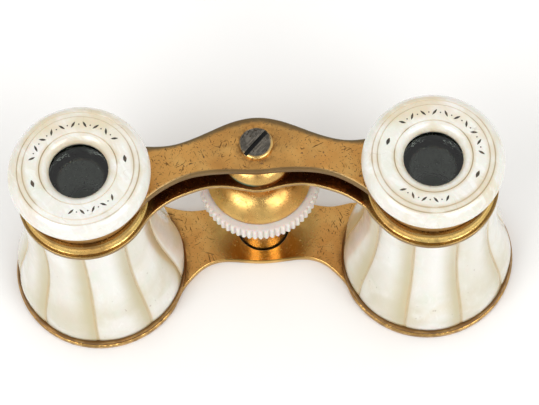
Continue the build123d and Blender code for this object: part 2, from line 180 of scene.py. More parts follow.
class Finish:
    """One procedural material, built up in layers over a base colour.

    place is the point in millimetres, which moves with its piece. A mask is 0 to 1 over the surface.
    """

    def __init__(self, name, colour, roughness, metallic, **settings):
        self.material = bpy.data.materials.new(name)
        self.material.use_nodes = True
        self.tree = self.material.node_tree
        self.shader = self.tree.nodes["Principled BSDF"]
        for socket, value in settings.items():
            self.shader.inputs[socket.replace("_", " ")].default_value = value
        where = self.add("TexCoord")
        self.normal = where.outputs["Normal"]
        self.place = self.vector("MULTIPLY", where.outputs["Object"], (1 / MM,) * 3)
        self.colour = (*colour, 1)
        self.roughness = roughness
        self.metallic = metallic
        self.height = 0.0
        self.seed = 3.0 * len(bpy.data.materials)

    def add(self, kind, **settings):
        node = self.tree.nodes.new("ShaderNode" + kind)
        for key, value in settings.items():
            setattr(node, key, value)
        return node

    def put(self, socket, value):
        if isinstance(value, bpy.types.NodeSocket):
            self.tree.links.new(value, socket)
        else:
            socket.default_value = value

    def math(self, operation, a, b=0.0):
        node = self.add("Math", operation=operation)
        self.put(node.inputs[0], a)
        self.put(node.inputs[1], b)
        return node.outputs[0]

    def vector(self, operation, a, b):
        node = self.add("VectorMath", operation=operation)
        self.put(node.inputs[0], a)
        self.put(node.inputs[1], b)
        return node.outputs[0]

    def mix(self, mask, a, b):
        node = self.add("Mix")
        self.put(node.inputs[0], mask)
        self.put(node.inputs[2], a)
        self.put(node.inputs[3], b)
        return node.outputs[0]

    def blend(self, mask, a, b):
        node = self.add("Mix", data_type="RGBA")
        self.put(node.inputs[0], mask)
        self.put(node.inputs[6], a)
        self.put(node.inputs[7], b)
        return node.outputs[2]

    def split(self, vector):
        node = self.add("SeparateXYZ")
        self.put(node.inputs[0], vector)
        return node.outputs

    def fade(self, value, start, end):
        """0 up to start, 1 from end, smooth between. start may be above end."""
        node = self.add("MapRange", interpolation_type="SMOOTHSTEP")
        self.put(node.inputs[0], value)
        self.put(node.inputs[1], start)
        self.put(node.inputs[2], end)
        return node.outputs[0]

    def both(self, a, b):
        return self.math("MULTIPLY", a, b)

    def noise(self, scale, detail=3.0, stretch=(1, 1, 1), turn=0.0, distortion=0.0):
        """Noise of so many cycles per millimetre, stretched and turned about the upright axis."""
        self.seed += 7.3
        mapping = self.add("Mapping", vector_type="TEXTURE")
        self.put(mapping.inputs["Vector"], self.place)
        mapping.inputs["Location"].default_value = (self.seed, self.seed * 0.7, self.seed * 0.3)
        mapping.inputs["Rotation"].default_value = (0, 0, math.radians(turn))
        mapping.inputs["Scale"].default_value = stretch
        node = self.add("TexNoise")
        self.put(node.inputs["Vector"], mapping.outputs[0])
        node.inputs["Scale"].default_value = scale
        node.inputs["Detail"].default_value = detail
        node.inputs["Distortion"].default_value = distortion
        return node.outputs[0]

    def scratches(self, turn, length=7.0, scale=4.3, start=0.67):
        """Short straight scratches along one direction, in patches."""
        streaks = self.fade(self.noise(scale, 1.0, (length, 1, 1), turn), start, start + 0.05)
        patches = self.fade(self.noise(0.22, 2.0), 0.47, 0.58)
        return self.both(streaks, patches)

    def hairlines(self, scale, width=0.006):
        """Fine curved lines, where a slow noise crosses its middle value."""
        off = self.math("ABSOLUTE", self.math("SUBTRACT", self.noise(scale, 0.0), 0.5))
        patches = self.fade(self.noise(0.2, 2.0), 0.46, 0.56)
        return self.both(self.fade(off, width, width * 0.35), patches)

    def spots(self, scale, start):
        """Small round spots."""
        return self.fade(self.noise(scale, 1.0), start, start + 0.05)

    def barrel_distance(self):
        """Distance from the nearer barrel axis."""
        x, y, _ = self.split(self.place)
        across = self.math("SUBTRACT", self.math("ABSOLUTE", x), BARREL_X["right"])
        along = self.math("SUBTRACT", y, BARREL_Y)
        return self.math("SQRT", self.math("ADD", self.both(across, across), self.both(along, along)))

    def focus_distance(self):
        """Distance from the focus wheel's axis."""
        x, y, _ = self.split(self.place)
        along = self.math("SUBTRACT", y, FOCUS_Y)
        return self.math("SQRT", self.math("ADD", self.both(x, x), self.both(along, along)))

    def facing_up(self):
        return self.split(self.normal)[2]

    def read(self, name):
        """A number that the mesh holds for each point."""
        return self.add("Attribute", attribute_name=name).outputs["Fac"]

    def layer(self, mask, strength, colour=None, roughness=None, metallic=None, sink=0.0):
        """Lay a finish over what is there so far, where mask is 1. sink is its depth."""
        mask = self.both(mask, strength)
        if colour is not None:
            self.colour = self.blend(mask, self.colour, (*colour, 1))
        if roughness is not None:
            self.roughness = self.mix(mask, self.roughness, roughness)
        if metallic is not None:
            self.metallic = self.mix(mask, self.metallic, metallic)
        if sink:
            self.height = self.math("SUBTRACT", self.height, self.both(mask, sink))

    def done(self, relief=0.05):
        """Link the layers to the shader. relief is the bump's depth in millimetres."""
        self.put(self.shader.inputs["Base Color"], self.colour)
        self.put(self.shader.inputs["Roughness"], self.roughness)
        self.put(self.shader.inputs["Metallic"], self.metallic)
        bump = self.add("Bump")
        bump.inputs["Strength"].default_value = 1.0
        bump.inputs["Distance"].default_value = relief * MM
        self.put(bump.inputs["Height"], self.height)
        self.put(self.shader.inputs["Normal"], bump.outputs[0])
        return self.material


# ---- metals --------------------------------------------------------------------------------------

# colours are linear red, green and blue
BRASS = (0.69, 0.365, 0.105)
PALE_BRASS = (0.82, 0.53, 0.185)
RED_BRASS = (0.60, 0.27, 0.07)
# a dark brown for grime, and also for painted shade in creases and joins
GRIME_AND_SHADE = (0.055, 0.028, 0.012)
BROWN = (0.17, 0.085, 0.03)
GREY_BROWN = (0.16, 0.118, 0.06)
VERDIGRIS = (0.05, 0.20, 0.15)
BLACK = (0.012, 0.012, 0.011)
POLISHED_BRASS = (0.78, 0.48, 0.14)
SHADED_BRASS = (0.22, 0.125, 0.035)
# dark brass: tarnish together with painted shade of the slot under the top bridge
SHADED_TARNISHED_BRASS = (0.20, 0.078, 0.022)
COPPERY_BRASS = (0.50, 0.20, 0.045)
EDGE_BRASS = (0.58, 0.38, 0.135)
PLATE_EDGE_BRASS = (0.60, 0.38, 0.13)
RING_BRASS = (0.36, 0.235, 0.085)
SHADED_RING = (0.26, 0.15, 0.05)
COLLAR_BRASS = (0.76, 0.54, 0.18)
# darkened brass: painted dark reflections on the foot bead
BEAD_BRASS_DARK_REFLECTION = (0.34, 0.205, 0.068)
DOME_BRASS = (0.69, 0.43, 0.135)
DOME_CLOUD = (0.40, 0.27, 0.09)
BOSS_BRASS = (0.76, 0.50, 0.165)
# darkened brass: painted shade under the eyecup on the eyepiece cell
SHADED_CELL_BRASS = (0.34, 0.20, 0.065)
SLEEVE_BRASS = (0.80, 0.50, 0.16)
STEEL = (0.105, 0.095, 0.08)
PALE_STEEL = (0.24, 0.215, 0.18)
BRIGHT_STEEL = (0.33, 0.29, 0.23)
DARK_STEEL = (0.04, 0.04, 0.035)
SLOT_BLACK = (0.003, 0.003, 0.003)

# Zones of the finishes: where a change starts and where it is whole. In millimetres from an axis:
OUTSIDE_RING = (10.7, 11.8)         # the bridges' worn edges, clear of their ring ends
EYEPIECE_RING = (11.8, 10.9)
UPPER_RING = (12.9, 12.2)
BARREL_FOOT = (17.4, 16.2)
SCREW_SURROUND = (4.6, 3.2)
HEAD_RIM = (2.45, 2.75)
HEAD_EDGE = (2.8, 2.95)
HEAD_INSIDE = (3.0, 2.85)
POLISHED_ZONE = (12.0, 7.5)
SHADED_ZONE = (12.0, 8.5)
SHAFT_HOLE = (5.08, 4.98)
TUBE_BORE = (9.3, 9.2)
CELL_BORE = (9.5, 9.4)
# and as the upward part of the surface's normal:
ROUNDED_OVER = (0.985, 0.9)
ABOVE_UNDERSIDE = (-0.6, 0.1)
UNDERSIDE = (-0.3, -0.7)
SCRATCH_TURNS = (24, 68, 112, 157)  # degrees about the upright axis


def brass(name, colour=BRASS, roughness=0.3, pits=0.85, scratch=0.85):
    """Worn gilt brass: cloudy colour and gloss, pits, short scratches and hairlines."""
    f = Finish(name, colour, roughness, 1.0)
    f.layer(f.fade(f.noise(0.14, 3.0), 0.42, 0.68), 0.5, colour=RED_BRASS)
    f.layer(f.fade(f.noise(0.3, 4.0), 0.45, 0.7), 0.35, colour=PALE_BRASS)
    f.layer(f.fade(f.noise(0.5, 5.0), 0.35, 0.7), 1.0, roughness=roughness + 0.14)
    f.height = f.both(f.noise(2.2, 4.0), 0.25)
    f.layer(f.spots(3.5, 0.665), pits, colour=GRIME_AND_SHADE, roughness=0.6, metallic=0.4, sink=0.6)
    f.layer(f.spots(1.6, 0.715), pits, colour=BROWN, roughness=0.6, metallic=0.4, sink=0.5)
    for turn in SCRATCH_TURNS:
        f.layer(f.scratches(turn), scratch, colour=GRIME_AND_SHADE, roughness=0.55, sink=0.5)
    f.layer(f.hairlines(0.3), scratch * 0.7, colour=BROWN, roughness=0.5, sink=0.4)
    f.layer(f.hairlines(0.45, 0.004), scratch * 0.3, colour=PALE_BRASS, roughness=0.25, sink=-0.2)
    return f


def bridge_finish(name, edge, edge_strength, edge_roughness, edge_metallic):
    """A brass plate whose rounded edges have worn to another colour."""
    f = brass(name, roughness=0.34)
    up = f.facing_up()
    tilted = f.both(f.fade(up, *ROUNDED_OVER), f.fade(up, *ABOVE_UNDERSIDE))
    tilted = f.both(tilted, f.fade(f.barrel_distance(), *OUTSIDE_RING))
    f.layer(tilted, edge_strength, colour=edge, roughness=edge_roughness, metallic=edge_metallic)
    return f


BACK_WAIST = 7.45               # the top bridge's back edge, behind the barrel axes
BACK_HUMP = 5.0                 # how much further back it reaches at the middle
BACK_HUMP_WIDTH = 10.5


def top_bridge_finish():
    """The top bridge: pitted and scratched, its back and front edges worn grey-brown, with painted shade
    on its underside and round the eyepieces and a painted dark reflection in the middle.
    """
    f = bridge_finish("top_bridge_brass", GREY_BROWN, 0.85, 0.3, 1.0)
    x, y, _ = f.split(f.place)
    hump = f.math("EXPONENT", f.both(f.both(x, x), -1 / BACK_HUMP_WIDTH ** 2))
    back_edge = f.math("ADD", f.both(hump, BACK_HUMP), BARREL_Y + BACK_WAIST)
    inland = f.math("SUBTRACT", back_edge, y)
    ragged = f.math("ADD", inland, f.both(f.noise(0.9, 4.0), 0.9))
    f.layer(f.fade(ragged, 2.1, 1.2), 0.9, colour=GREY_BROWN, roughness=0.38)
    near_screw = f.both(f.fade(f.focus_distance(), *SCREW_SURROUND), f.fade(f.noise(1.1, 3.0), 0.38, 0.6))
    f.layer(near_screw, 0.55, colour=BROWN, roughness=0.55)
    # painted reflection: a faint dark brown patch in the middle, in front of the screw
    dark_reflection = f.both(f.fade(f.math("ABSOLUTE", x), 15.0, 3.0), f.fade(f.noise(0.25, 4.0), 0.3, 0.6))
    f.layer(dark_reflection, 0.3, colour=BROWN)
    # painted shade: the underside darkened brown
    under = f.fade(f.facing_up(), *UNDERSIDE)
    f.layer(under, 0.7, colour=BROWN, roughness=0.5)
    # painted shade: the ring round each eyepiece darkened where the eyecup shades it
    f.layer(f.fade(f.barrel_distance(), *EYEPIECE_RING), 0.75, colour=SHADED_RING, roughness=0.4)
    return f.done()


def lower_bridge_finish():
    """The lower bridge: polished round the wheel's shaft, worn and scratched elsewhere, with painted dark
    reflections beside the shaft and a painted shadow in the gap round it.
    """
    f = bridge_finish("lower_bridge_brass", PLATE_EDGE_BRASS, 0.9, 0.2, 1.0)
    polished = f.fade(f.focus_distance(), *POLISHED_ZONE)
    f.layer(polished, 0.9, colour=POLISHED_BRASS, roughness=0.1)
    f.height = f.both(f.height, f.mix(polished, 1.0, 0.03))
    # painted reflection: dark wedges to the left and right of the shaft in the polished plate
    x, _, _ = f.split(f.place)
    beside = f.both(f.fade(f.math("ABSOLUTE", x), 2.4, 4.6), f.fade(f.focus_distance(), *SHADED_ZONE))
    f.layer(beside, 0.55, colour=SHADED_BRASS)
    # painted shadow: black in the gap round the shaft
    f.layer(f.fade(f.focus_distance(), *SHAFT_HOLE), 1.0, colour=BLACK, roughness=0.7, metallic=0.0)
    near_barrel = f.both(f.fade(f.barrel_distance(), *BARREL_FOOT), f.fade(f.noise(0.6, 3.0), 0.35, 0.6))
    f.layer(near_barrel, 0.6, colour=BROWN, roughness=0.5)
    return f.done()


def upper_bridge_finish():
    """The narrow plate under the top bridge: dark with tarnish and painted shade, painted orange glints
    towards the right, bright along its edge.
    """
    f = Finish("upper_bridge_brass", SHADED_TARNISHED_BRASS, 0.24, 1.0)
    x, y, _ = f.split(f.place)
    # painted highlight: orange glints on the dark plate, growing stronger to the right
    right = f.fade(x, 2.0, 16.0)
    worn = f.both(f.fade(f.noise(0.5, 4.0), 0.5, 0.62), f.mix(right, 0.4, 1.0))
    f.layer(worn, 0.85, colour=COPPERY_BRASS, roughness=0.2)
    f.layer(f.spots(2.2, 0.68), 0.6, colour=BRASS, roughness=0.3)
    up = f.facing_up()
    f.layer(f.fade(up, 0.97, 0.85), 1.0, colour=EDGE_BRASS, roughness=0.22)
    f.layer(f.fade(f.barrel_distance(), *UPPER_RING), 0.85, colour=RING_BRASS, roughness=0.28)
    groove = f.both(f.fade(f.math("ABSOLUTE", up), 0.24, 0.1), f.fade(f.noise(0.4, 3.0), 0.3, 0.55))
    f.layer(groove, 0.6, colour=BROWN, roughness=0.4)
    f.layer(f.spots(3.0, 0.7), 0.8, colour=GRIME_AND_SHADE, roughness=0.6)
    f.height = f.both(f.noise(1.6, 3.0), 0.6)
    return f.done()


def collar_finish():
    """The cove collar: gold in its hollow, painted shadow of the eyecup at its top, grime at its foot."""
    f = brass("collar_brass", COLLAR_BRASS, 0.17, pits=0.5, scratch=0.35)
    _, _, z = f.split(f.place)
    base = low("left_barrel_collar").z
    # painted shadow of the eyecup: brown towards the collar's top
    f.layer(f.fade(z, base + 1.3, base + 2.3), 0.6, colour=BROWN, roughness=0.3)
    f.layer(f.both(f.fade(z, base + 0.4, base + 0.1), f.fade(f.noise(0.5, 3.0), 0.3, 0.55)), 0.7,
            colour=BROWN, roughness=0.5)
    f.layer(f.fade(f.noise(0.45, 4.0), 0.54, 0.68), 0.5, colour=BROWN, roughness=0.4)
    return f.done()


def bead_finish():
    """The half-round bead at a barrel's foot: brass darkened for painted dark reflections, with painted
    shade in the crease under it, on its lower half and along its top.
    """
    f = brass("bead_brass", BEAD_BRASS_DARK_REFLECTION, 0.2, pits=0.6, scratch=0.3)
    _, _, z = f.split(f.place)
    base = low("left_foot_bead").z
    # painted shade: dark in the crease at the bead's foot, darker over its lower half, and along its top
    # where the pearl sits
    f.layer(f.fade(z, base + 0.28, base + 0.1), 0.9, colour=GRIME_AND_SHADE, roughness=0.55)
    f.layer(f.fade(z, base + 0.65, base + 0.3), 0.5, colour=BROWN, roughness=0.3)
    f.layer(f.fade(z, base + 1.0, base + 1.2), 0.8, colour=BROWN, roughness=0.5)
    f.layer(f.fade(f.noise(0.4, 4.0), 0.36, 0.58), 0.8, colour=BROWN, roughness=0.4)
    return f.done()


def dome_finish():
    """The focus wheel's dome: clouded gold, with a painted shadow in the gap where it meets the knurled
    ring.
    """
    f = brass("dome_brass", DOME_BRASS, 0.24, pits=0.35, scratch=0.35)
    _, _, z = f.split(f.place)
    base = low("focus_wheel_dome").z
    f.layer(f.fade(f.noise(0.22, 3.0), 0.52, 0.68), 0.4, colour=DOME_CLOUD, roughness=0.33)
    # painted shadow: dark line in the gap at the dome's foot
    f.layer(f.fade(z, base + 0.22, base + 0.08), 0.9, colour=GRIME_AND_SHADE, roughness=0.6)
    return f.done()


def boss_finish():
    """The boss of the upper bridge: gold, with brown and verdigris round its foot."""
    f = brass("boss_brass", BOSS_BRASS, 0.22, pits=0.5, scratch=0.3)
    x, y, z = f.split(f.place)
    base = low("upper_bridge_boss").z
    foot = f.fade(z, base + 0.75, base + 0.2)
    f.layer(foot, 0.75, colour=BROWN, roughness=0.5)
    front_left = f.both(f.fade(x, 1.2, -1.5), f.fade(y, FOCUS_Y - 3.5, FOCUS_Y - 5.2))
    f.layer(f.both(foot, front_left), 0.9, colour=VERDIGRIS, roughness=0.7, metallic=0.1)
    return f.done()


def draw_tube_finish():
    """Gilt outside, where it slides in the collar, and black inside."""
    f = brass("draw_tube_brass", PALE_BRASS, 0.2, pits=0.3, scratch=0.35)
    _, _, z = f.split(f.place)
    f.layer(f.fade(f.noise(1.4, 2.0, (1, 1, 30)), 0.55, 0.62), 0.3, colour=BROWN, roughness=0.3)
    f.layer(f.fade(f.barrel_distance(), *TUBE_BORE), 1.0, colour=BLACK, roughness=0.45, metallic=0.0)
    return f.done()


def neck_finish():
    """The eyepiece cell: brass painted dark brown for the shade under the eyecup, black inside."""
    f = brass("eyepiece_cell_brass", SHADED_CELL_BRASS, 0.3, pits=0.6, scratch=0.3)
    f.layer(f.fade(f.noise(0.6, 4.0), 0.4, 0.7), 0.6, colour=BROWN, roughness=0.4)
    f.layer(f.fade(f.barrel_distance(), *CELL_BORE), 1.0, colour=BLACK, roughness=0.7, metallic=0.0)
    return f.done()


def black_finish(name, roughness=0.7):
    """Matt black lacquer, rubbed to brass in a few spots."""
    f = Finish(name, BLACK, roughness, 0.0)
    f.height = f.both(f.noise(5.0, 3.0), 0.4)
    f.layer(f.fade(f.noise(0.7, 4.0), 0.4, 0.7), 1.0, roughness=roughness - 0.2)
    f.layer(f.spots(1.6, 0.74), 0.6, colour=BROWN, roughness=0.4, metallic=1.0)
    return f.done()


def barrel_tube_finish():
    """Dull brass under the staves, black inside the barrel."""
    f = brass("barrel_tube_brass", RED_BRASS, 0.5, pits=0.5, scratch=0.3)
    inside = f.fade(f.facing_up(), -0.02, 0.02)
    f.layer(inside, 0.5, colour=BLACK, roughness=0.8)
    f.layer(f.fade(f.noise(0.5, 3.0), 0.3, 0.7), 0.5, colour=BROWN)
    return f.done()


def plain_brass_finish(name, roughness, colour=BRASS):
    """Turned brass with fine circular tool marks across its height."""
    f = brass(name, colour, roughness, pits=0.5, scratch=0.3)
    _, _, z = f.split(f.place)
    marks = f.math("SINE", f.both(z, 40.0))
    f.layer(f.fade(marks, 0.2, 1.0), 0.35, roughness=roughness + 0.12, sink=0.15)
    return f.done()


def steel_finish():
    """The slotted screw: dark steel, a painted highlight in brass colour on the front right of its rim,
    and its slot painted black for shade.
    """
    f = Finish("screw_steel", STEEL, 0.36, 1.0)
    _, _, z = f.split(f.place)
    top = high("bridge_screw").z
    f.layer(f.fade(f.noise(1.2, 4.0), 0.4, 0.66), 0.75, colour=PALE_STEEL, roughness=0.26)
    f.layer(f.scratches(48, 12.0, 5.0, 0.58), 0.5, colour=BRIGHT_STEEL, sink=0.2)
    f.layer(f.scratches(62, 10.0, 4.0, 0.6), 0.8, colour=DARK_STEEL, sink=0.5)
    # painted highlight: a bright brass-coloured crescent on the front right of the head's rim
    x, y, _ = f.split(f.place)
    front_right = f.math("SUBTRACT", f.both(x, 0.5), f.both(f.math("SUBTRACT", y, FOCUS_Y), 0.85))
    rim = f.both(f.fade(f.focus_distance(), *HEAD_RIM), f.fade(front_right, -0.4, 1.6))
    f.layer(rim, 0.95, colour=PALE_BRASS, roughness=0.2)
    f.layer(f.both(f.fade(f.focus_distance(), *HEAD_EDGE), f.fade(f.noise(0.6, 2.0), 0.4, 0.6)), 0.7,
            colour=PALE_BRASS, roughness=0.3)
    f.layer(f.spots(2.6, 0.66), 0.8, colour=GRIME_AND_SHADE, roughness=0.7)
    # painted shade: the slot's depths painted black
    slot = f.both(f.fade(z, top - 0.32, top - 0.48), f.fade(f.focus_distance(), *HEAD_INSIDE))
    f.layer(slot, 1.0, colour=SLOT_BLACK, roughness=0.9, metallic=0.0)
    f.height = f.math("ADD", f.height, f.both(f.noise(3.0, 3.0), 0.5))
    return f.done()


# ---- pearl, cement, ink and glass ----------------------------------------------------------------

PEARL = (0.77, 0.76, 0.70)
CREAM = (0.68, 0.60, 0.42)
TAN = (0.56, 0.40, 0.20)
PINK = (0.78, 0.71, 0.68)
GREEN = (0.66, 0.72, 0.62)
SHADE = (0.51, 0.445, 0.265)
RIPPLE = (0.88, 0.88, 0.85)
HIGHLIGHT_PEARL = (0.86, 0.86, 0.83)
SEAM_STAIN = (0.60, 0.50, 0.30)
FACE_RIPPLE = (0.88, 0.885, 0.86)
RING_STAIN = (0.60, 0.50, 0.32)
FACE_STAIN = (0.64, 0.53, 0.33)
KNURL = (0.69, 0.63, 0.60)
KNURL_CLOUD = (0.76, 0.73, 0.68)
TOOTH_HIGHLIGHT = (0.74, 0.73, 0.64)
OLD_CEMENT = (0.46, 0.37, 0.20)
PALE_CEMENT = (0.62, 0.53, 0.34)
DARK_CEMENT = (0.34, 0.23, 0.11)
INK_BLACK = (0.035, 0.028, 0.02)
WORN_INK = (0.16, 0.11, 0.06)
CLEAR_GLASS = (0.80, 0.92, 0.80)
DUST = (0.75, 0.75, 0.70)


def pearl(name, roughness=0.16):
    """Mother-of-pearl: slow folded bands of cream, pink and green under a clear polish."""
    f = Finish(name, PEARL, roughness, 0.0, Subsurface_Weight=0.12, Subsurface_Scale=0.0012,
               Coat_Weight=0.35, Coat_Roughness=0.08, IOR=1.58)
    bands = f.noise(0.11, 3.0, (1, 1, 2.4), 30, 1.2)
    f.layer(f.fade(bands, 0.46, 0.7), 0.5, colour=PINK)
    f.layer(f.fade(f.noise(0.15, 3.0, (2.4, 1, 1), 60, 1.0), 0.5, 0.72), 0.45, colour=GREEN)
    f.layer(f.fade(f.noise(0.1, 4.0, (1, 1, 1.8), 0, 1.6), 0.5, 0.74), 0.4, colour=CREAM)
    ripples = f.noise(0.9, 4.0, (1, 1, 5), 0, 2.0)
    f.layer(f.fade(ripples, 0.5, 0.7), 0.3, colour=RIPPLE)
    f.layer(f.fade(f.noise(0.6, 3.0), 0.4, 0.7), 1.0, roughness=roughness + 0.1)
    f.height = f.both(f.noise(1.1, 3.0), 0.5)
    return f


def stave_finish():
    """The barrel's staves: tan towards each joint, where old cement shows through; painted highlight high
    in each stave's middle, painted shade on its lower half and on one side of each joint.
    """
    f = pearl("stave_pearl")
    to_seam = f.read("to_seam")
    _, _, z = f.split(f.place)
    cloud = f.fade(f.noise(0.16, 3.0), 0.3, 0.7)
    shaded_side = f.fade(f.read("across"), -0.9, 0.9)
    # painted highlight: each stave lighter towards its upper middle
    f.layer(f.both(f.fade(z, 12.0, 24.0), f.fade(to_seam, 1.0, 3.2)), 0.6, colour=HIGHLIGHT_PEARL)
    # painted shade: darker towards the foot, and on one side of each joint
    f.layer(f.both(f.fade(z, 19.0, 9.0), f.fade(f.noise(0.1, 3.0), 0.36, 0.6)), 0.5, colour=SHADE)
    f.layer(f.both(f.fade(to_seam, 4.4, 0.3), f.mix(shaded_side, 0.0, 1.0)), 1.0, colour=SHADE)
    f.layer(f.both(f.fade(to_seam, 1.5, 0.1), f.mix(cloud, 0.2, 0.9)), 0.45, colour=SEAM_STAIN)
    f.layer(f.fade(to_seam, 0.45, 0.05), 0.8, colour=TAN)
    f.layer(f.both(f.read("tone"), f.fade(f.noise(0.09, 2.0), 0.35, 0.6)), 0.4, colour=SHADE)
    foot = f.both(f.fade(z, 4.0, 2.9), f.fade(f.noise(0.5, 3.0), 0.3, 0.7))
    f.layer(foot, 0.45, colour=TAN)
    f.layer(f.spots(1.1, 0.75), 0.5, colour=BROWN, roughness=0.4, sink=0.4)
    return f.done(0.02)


ENGRAVED_RINGS = (6.85, 9.8, 10.74)
RING_LINE = (0.16, 0.05)
RING_HALO = (0.8, 0.05)
SIGHT_HOLE = (6.3, 5.3)
HOLE_LIP = (5.75, 5.35)
ENGRAVED_FACE = (6.5, 8.5)


def eyecup_finish():
    """The eyecup: engraved rings that hold brown dirt, a yellowed rim round the sight hole, painted shade
    low on its side.
    """
    f = pearl("eyecup_pearl")
    f.layer(f.fade(f.noise(0.09, 2.0, (1, 1, 1), 0, 1.0), 0.48, 0.66), 0.55, colour=CREAM)
    f.layer(f.fade(f.noise(0.35, 4.0, (1, 3, 1), 40, 2.0), 0.5, 0.62), 0.4, colour=FACE_RIPPLE)
    distance = f.barrel_distance()
    _, y, z = f.split(f.place)
    top = high("left_eyecup").z
    on_face = f.fade(z, top - 0.7, top - 0.5)
    patches = f.fade(f.noise(0.12, 3.0), 0.45, 0.6)
    for ring in ENGRAVED_RINGS:
        off = f.math("ABSOLUTE", f.math("SUBTRACT", distance, ring))
        line = f.both(f.fade(off, *RING_LINE), on_face)
        f.layer(line, 0.4, colour=TAN, roughness=0.5)
        f.layer(f.both(line, patches), 0.9, colour=BROWN, roughness=0.5)
        halo = f.both(f.fade(off, *RING_HALO), f.both(patches, on_face))
        f.layer(halo, 0.6, colour=RING_STAIN)
    stain = f.both(f.fade(y, BARREL_Y + 3.0, BARREL_Y + 8.5), f.fade(f.noise(0.12, 3.0), 0.36, 0.58))
    f.layer(f.both(stain, f.both(f.fade(distance, *ENGRAVED_FACE), on_face)), 0.7, colour=FACE_STAIN)
    hole = f.fade(distance, *SIGHT_HOLE)
    f.layer(hole, 0.4, colour=CREAM)
    f.layer(f.both(f.fade(distance, *HOLE_LIP), f.fade(f.noise(0.7, 3.0), 0.35, 0.6)), 0.4, colour=TAN)
    # painted shade: tan towards the cup's bottom
    under = f.fade(z, top - 3.2, top - 4.2)
    f.layer(under, 0.6, colour=TAN)
    f.layer(f.hairlines(0.21, 0.003), 0.2, colour=BROWN, sink=0.2)
    return f.done(0.02)


TEETH_ROOT = (11.0, 10.78)
TEETH_START = (10.6, 10.75)
TEETH_TIP = (10.95, 11.2)


def knurl_finish():
    """The wheel's ring: clouded, faintly pink, with dirt between its teeth and painted highlights on
    their tips.
    """
    f = Finish("knurl_pearl", KNURL, 0.34, 0.0, Subsurface_Weight=0.35,
               Subsurface_Scale=0.0015, IOR=1.5)
    f.layer(f.fade(f.noise(0.3, 3.0), 0.4, 0.7), 0.6, colour=KNURL_CLOUD)
    valley = f.fade(f.focus_distance(), *TEETH_ROOT)
    edge = f.fade(f.focus_distance(), *TEETH_START)
    f.layer(f.both(f.both(valley, edge), f.fade(f.noise(0.8, 3.0), 0.35, 0.7)), 0.5, colour=CREAM)
    # painted highlight: the teeth's tips lighter and creamier
    f.layer(f.fade(f.focus_distance(), *TEETH_TIP), 0.6, colour=TOOTH_HIGHLIGHT)
    f.layer(f.spots(1.5, 0.73), 0.7, colour=BROWN, sink=0.5)
    f.height = f.math("ADD", f.height, f.both(f.noise(2.0, 3.0), 0.5))
    return f.done()


def cement_finish():
    """Old tan cement in the joints between staves."""
    f = Finish("cement", OLD_CEMENT, 0.6, 0.0)
    f.layer(f.fade(f.noise(0.35, 4.0), 0.4, 0.66), 0.7, colour=PALE_CEMENT)
    f.layer(f.fade(f.noise(0.5, 3.0), 0.56, 0.7), 0.6, colour=DARK_CEMENT)
    f.height = f.noise(3.0, 3.0)
    return f.done()


def ink_finish():
    """Black filling of the engraved ornament, worn thin here and there."""
    f = Finish("engraving_fill", INK_BLACK, 0.6, 0.0)
    f.layer(f.fade(f.noise(1.6, 3.0), 0.48, 0.62), 0.5, colour=WORN_INK)
    f.height = f.noise(6.0, 2.0)
    return f.done()


def glass_finish():
    """Optical glass with a little dust on it."""
    f = Finish("optical_glass", CLEAR_GLASS, 0.02, 0.0, Transmission_Weight=1.0, IOR=1.52,
               Specular_IOR_Level=0.36)
    dust = f.both(f.spots(2.4, 0.70), f.fade(f.noise(0.3, 2.0), 0.4, 0.6))
    f.layer(dust, 0.8, colour=DUST, roughness=0.5)
    f.layer(f.fade(f.noise(0.4, 4.0), 0.5, 0.75), 0.06, roughness=0.3)
    return f.done(0.005)


FINISHES = {
    "top_bridge": top_bridge_finish(),
    "lower_bridge": lower_bridge_finish(),
    "upper_bridge": upper_bridge_finish(),
    "upper_bridge_boss": boss_finish(),
    "barrel_collar": collar_finish(),
    "foot_bead": bead_finish(),
    "barrel_tube": barrel_tube_finish(),
    "draw_tube": draw_tube_finish(),
    "eyepiece_cell": neck_finish(),
    "focus_wheel_dome": dome_finish(),
    "focus_sleeve": plain_brass_finish("sleeve_brass", 0.16, SLEEVE_BRASS),
    "focus_wheel_nut": plain_brass_finish("nut_brass", 0.3),
    "objective_cell": plain_brass_finish("cell_brass", 0.3),
    "objective_retaining_ring": black_finish("ring_black"),
    "light_stop": black_finish("stop_black", 0.8),
    "eye_lens_ring": black_finish("eye_ring_black", 0.6),
    "bridge_screw": steel_finish(),
    "eyecup": eyecup_finish(),
    "eye_lens": glass_finish(),
}
FINISHES["objective_crown_lens"] = FINISHES["eye_lens"]
FINISHES["objective_flint_lens"] = FINISHES["eye_lens"]
STAVE_PEARL = stave_finish()
CEMENT = cement_finish()
KNURL_PEARL = knurl_finish()
INK = ink_finish()
SCREW_BRASS = plain_brass_finish("lead_screw_brass", 0.28)

CAD_SMOOTH_ANGLE = 32
for name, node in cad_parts.items():
    kind = name.removeprefix("left_").removeprefix("right_")
    node.data.shade_smooth()
    node.data.set_sharp_from_angle(angle=math.radians(CAD_SMOOTH_ANGLE))
    for index in range(len(node.data.materials)):
        node.data.materials[index] = FINISHES.get(kind, STAVE_PEARL)


# ---- pearl staves and the cement between them ----------------------------------------------------


def stave_rows():
    """Heights of the rows of points up a stave, close together at its two ends."""
    bottom = BARREL_PROFILE[0][0]
    top = BARREL_PROFILE[-1][0]
    inner = [bottom + (top - bottom) * i / STAVE_ROWS for i in range(1, STAVE_ROWS)]
    return [bottom, bottom + FOOT_ROW, *inner, top - HEAD_ROW, top]


def lobe_share(height):
    """How much of the staves' crown there is at a height: it dies away at the foot."""
    return min(1.0, LOBE_AT_FOOT + (height - BARREL_PROFILE[0][0]) / LOBE_RISE)


